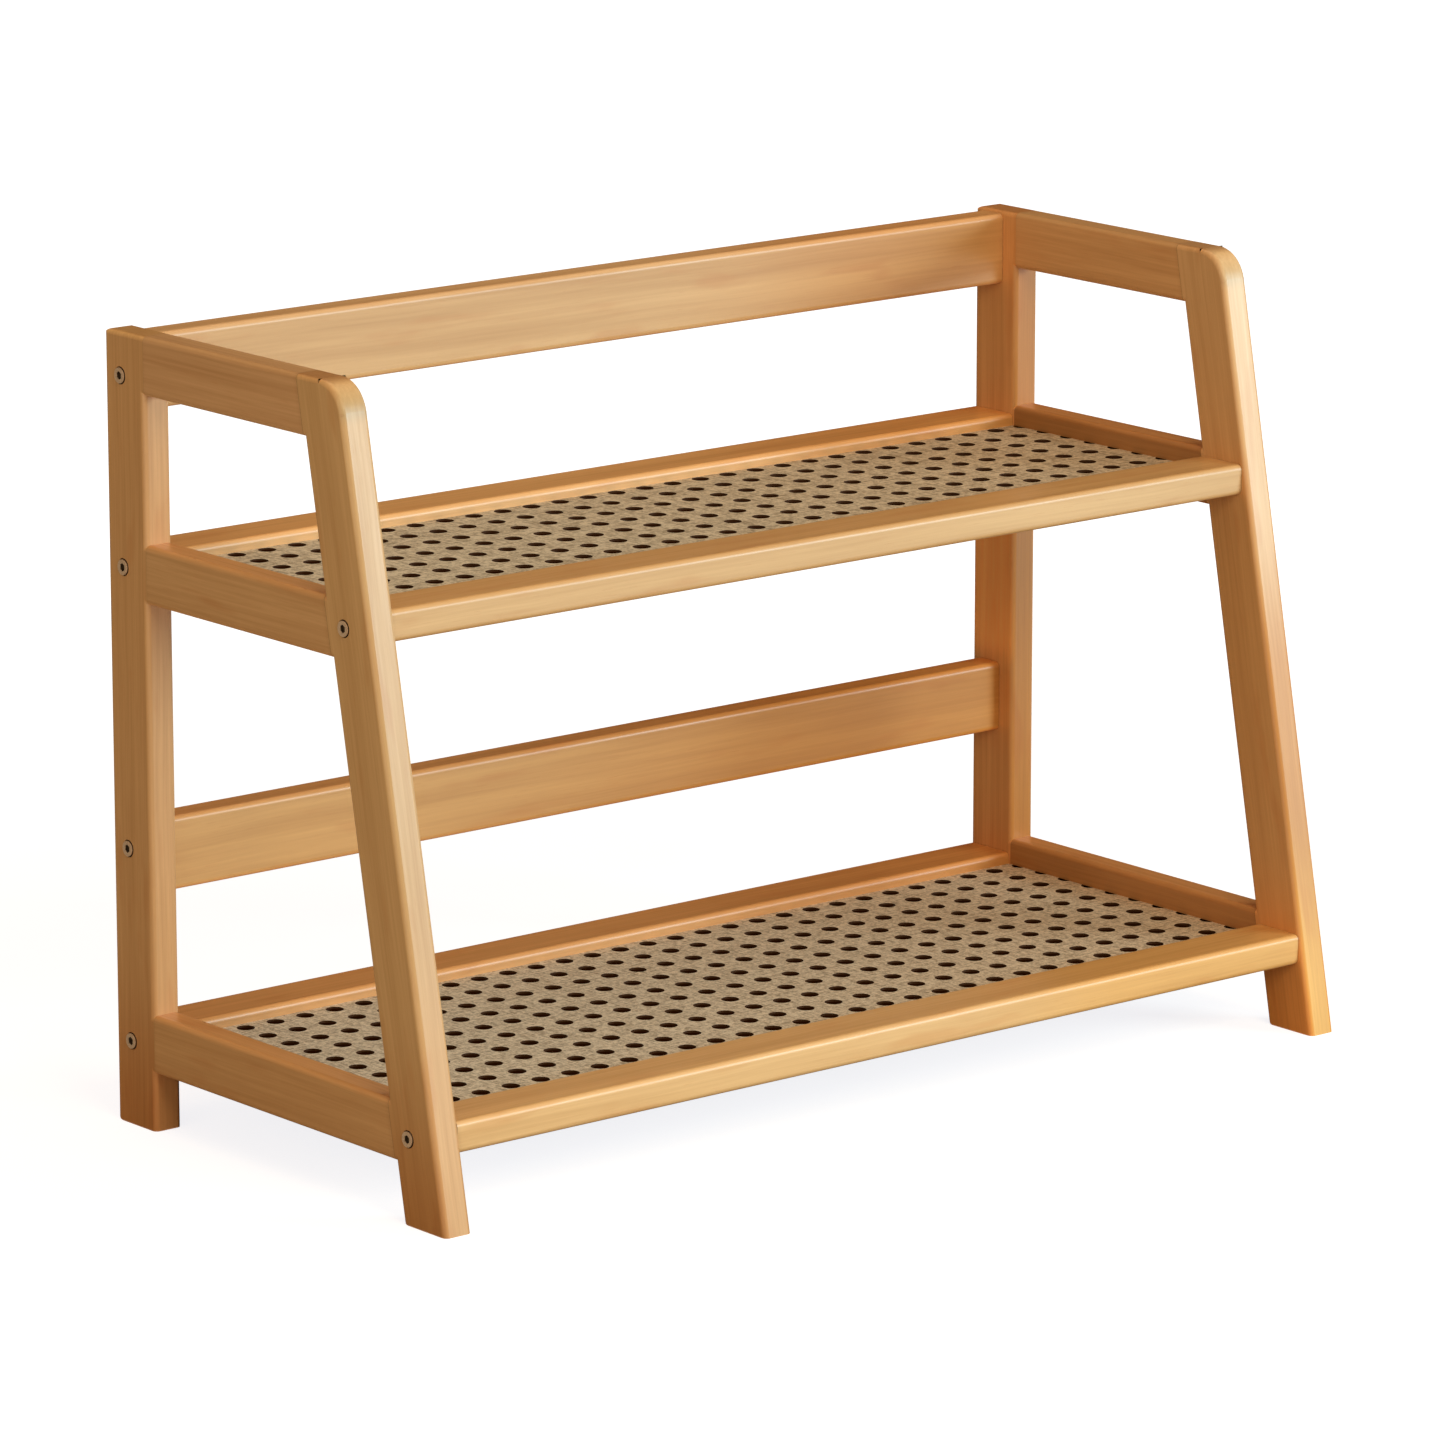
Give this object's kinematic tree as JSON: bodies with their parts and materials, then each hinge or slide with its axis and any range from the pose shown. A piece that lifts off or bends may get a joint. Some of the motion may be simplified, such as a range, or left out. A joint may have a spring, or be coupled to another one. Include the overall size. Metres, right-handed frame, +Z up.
{
  "type": "entryway bench rack",
  "caption": "Open wooden entryway rack bench with leaning front legs, guard rails at the sides and back, and recessed perforated shelf panels.",
  "frame": {"origin": "on the floor under the middle of the rack, midway between the front toes and the rear of the posts", "axes": "+X to the right seen from the front, +Y to the back, +Z up"},
  "size_m": [0.6016, 0.277, 0.414],
  "materials": {
    "stick_wood": "honey coloured bamboo with fine straight grain under a satin clear lacquer",
    "panel_facing": "beige perforated facing with a fine linen texture, matt",
    "panel_board": "dark brown hardboard, matt",
    "dowel_wood": "plain beech dowel, unfinished",
    "screw_steel": "zinc plated steel, dull"
  },
  "bodies": {
    "root": {"left_rear_post": "stick_wood", "right_rear_post": "stick_wood", "left_front_leg": "stick_wood", "right_front_leg": "stick_wood", "left_top_rail": "stick_wood", "right_top_rail": "stick_wood", "left_upper_side_rail": "stick_wood", "right_upper_side_rail": "stick_wood", "left_lower_side_rail": "stick_wood", "right_lower_side_rail": "stick_wood", "top_back_board": "stick_wood", "mid_back_board": "stick_wood", "upper_back_rail": "stick_wood", "upper_front_rail": "stick_wood", "lower_back_rail": "stick_wood", "lower_front_rail": "stick_wood", "upper_panel_board": "panel_board", "upper_panel_facing": "panel_facing", "lower_panel_board": "panel_board", "lower_panel_facing": "panel_facing", "left_frame_dowels": "dowel_wood", "left_rail_dowels": "dowel_wood", "left_screws": "screw_steel", "right_frame_dowels": "dowel_wood", "right_rail_dowels": "dowel_wood", "right_screws": "screw_steel"}
  },
  "joints": []
}
